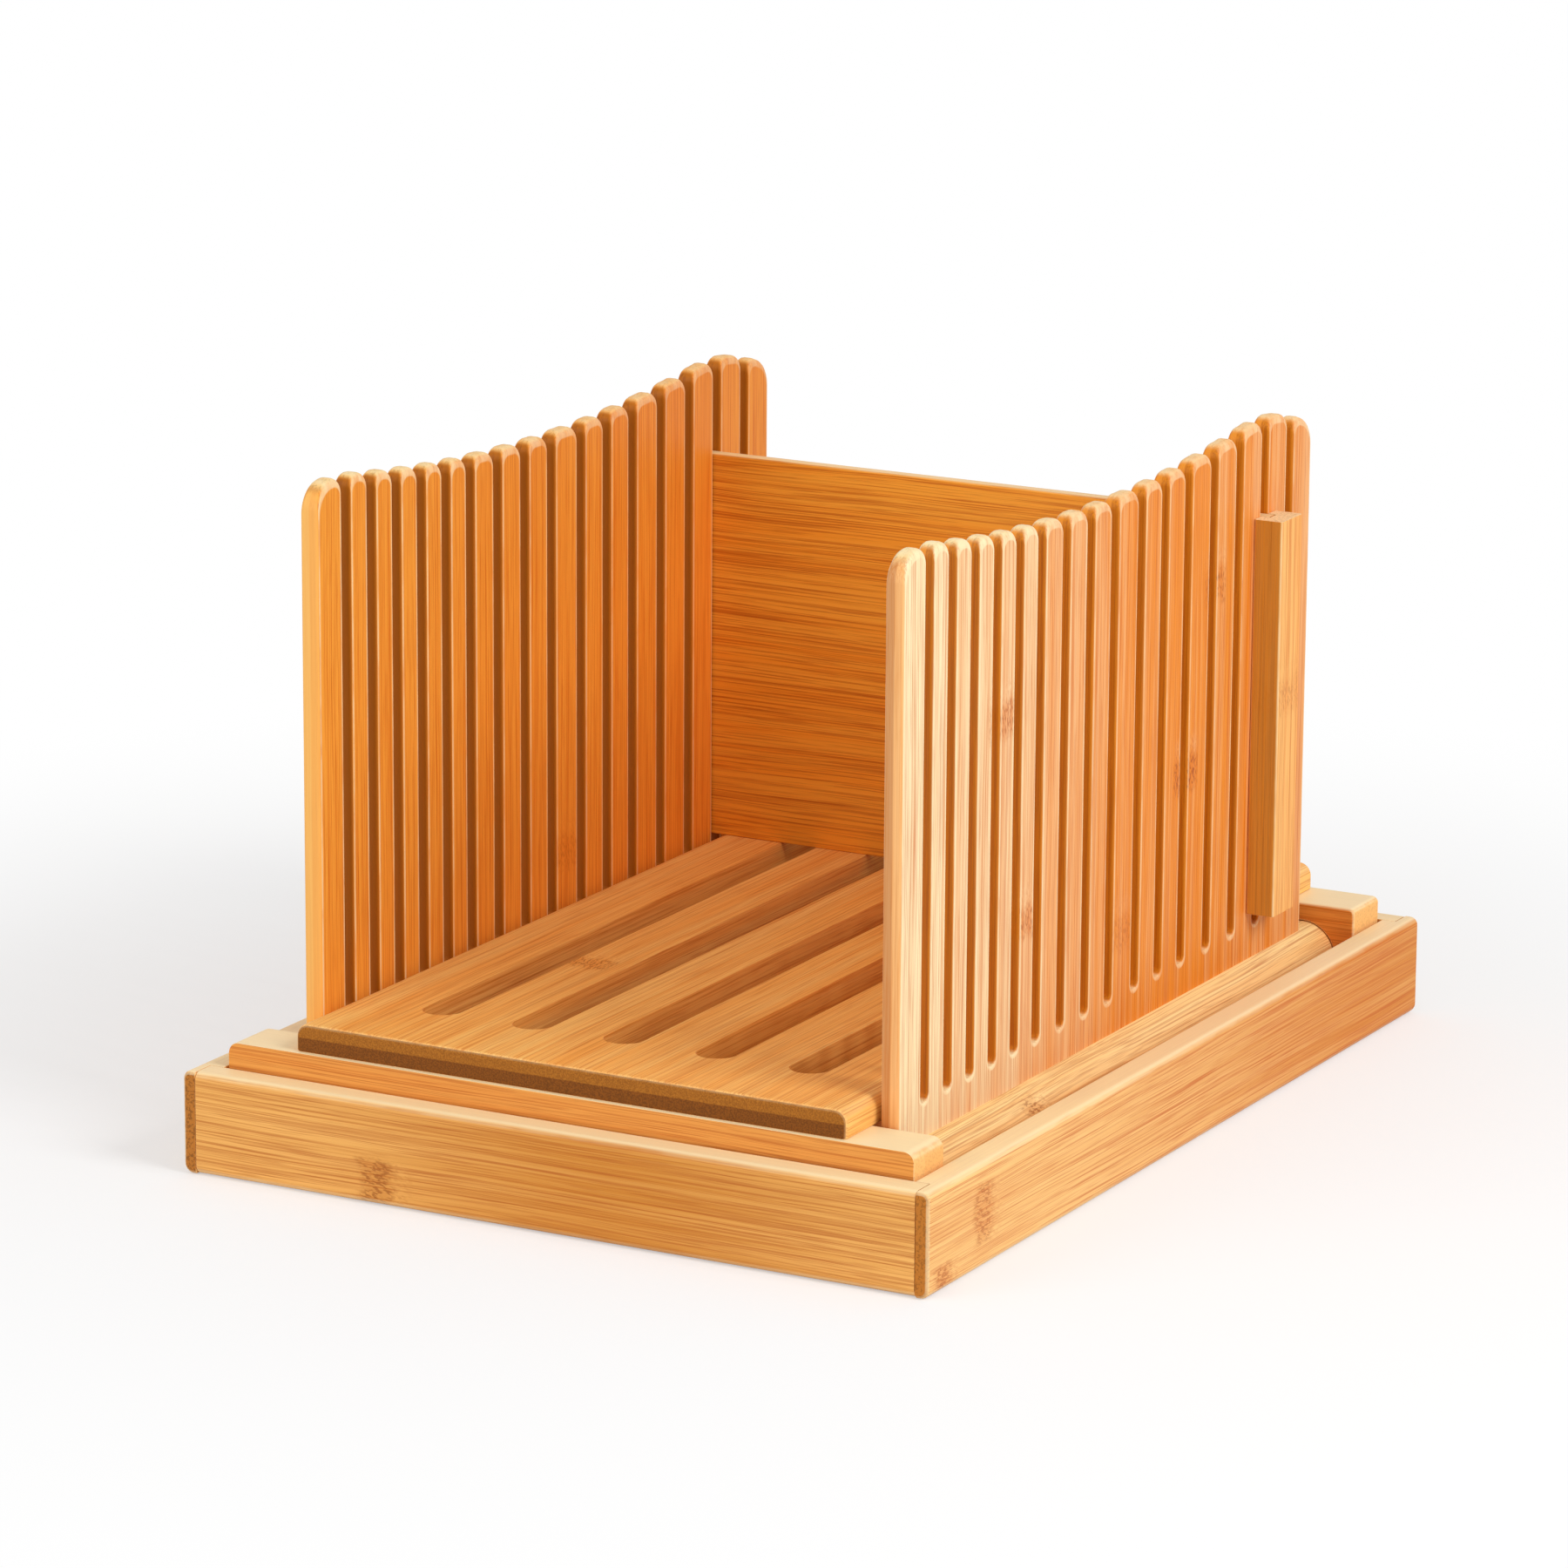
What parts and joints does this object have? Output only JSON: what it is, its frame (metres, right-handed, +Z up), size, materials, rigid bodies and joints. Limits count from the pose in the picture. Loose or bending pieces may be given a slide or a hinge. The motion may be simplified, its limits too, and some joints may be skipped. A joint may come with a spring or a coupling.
{
  "type": "bread slicing guide",
  "caption": "Bread slicing guide of laminated bamboo: comb-like slotted sides on round rods swing beside a slotted board, with a lift-out back plate and a crumb tray.",
  "frame": {"origin": "on the table, under the middle of the crumb tray", "axes": "+Z up, +X to the right across the guide, +Y from the open front end where slices fall to the back plate's end"},
  "size_m": [0.25, 0.3434, 0.2074],
  "materials": {
    "bamboo_tray": "satin",
    "bamboo_base": "satin",
    "bamboo_rod": "satin",
    "bamboo_comb": "satin",
    "bamboo_plate": "satin",
    "screw_steel": "satin"
  },
  "bodies": {
    "tray": {"tray_front_wall": "bamboo_tray", "tray_back_wall": "bamboo_tray", "tray_left_wall": "bamboo_tray", "tray_right_wall": "bamboo_tray", "tray_floor_panel": "bamboo_tray"},
    "base": {"front_rail": "bamboo_base", "back_rail": "bamboo_base", "slotted_board": "bamboo_base", "board_screws": "screw_steel"},
    "left_comb_unit": {"left_rod": "bamboo_rod", "left_comb": "bamboo_comb", "left_batten": "bamboo_comb"},
    "right_comb_unit": {"right_rod": "bamboo_rod", "right_comb": "bamboo_comb", "right_batten": "bamboo_comb"},
    "plate": {"back_plate": "bamboo_plate"}
  },
  "joints": [
    {"name": "base_lift", "type": "slide", "parent": "tray", "child": "base", "axis": [0, 0, 1], "range_m": [0, 0.05]},
    {"name": "left_comb_swing", "type": "hinge", "parent": "base", "child": "left_comb_unit", "pos_m": [-0.097, 0, 0.02225], "axis": [0, -1, 0], "range_deg": [0, 42]},
    {"name": "right_comb_swing", "type": "hinge", "parent": "base", "child": "right_comb_unit", "pos_m": [0.097, 0, 0.02225], "axis": [0, 1, 0], "range_deg": [0, 42]},
    {"name": "plate_lift", "type": "slide", "parent": "base", "child": "plate", "axis": [0, 0, 1], "range_m": [0, 0.16]}
  ]
}
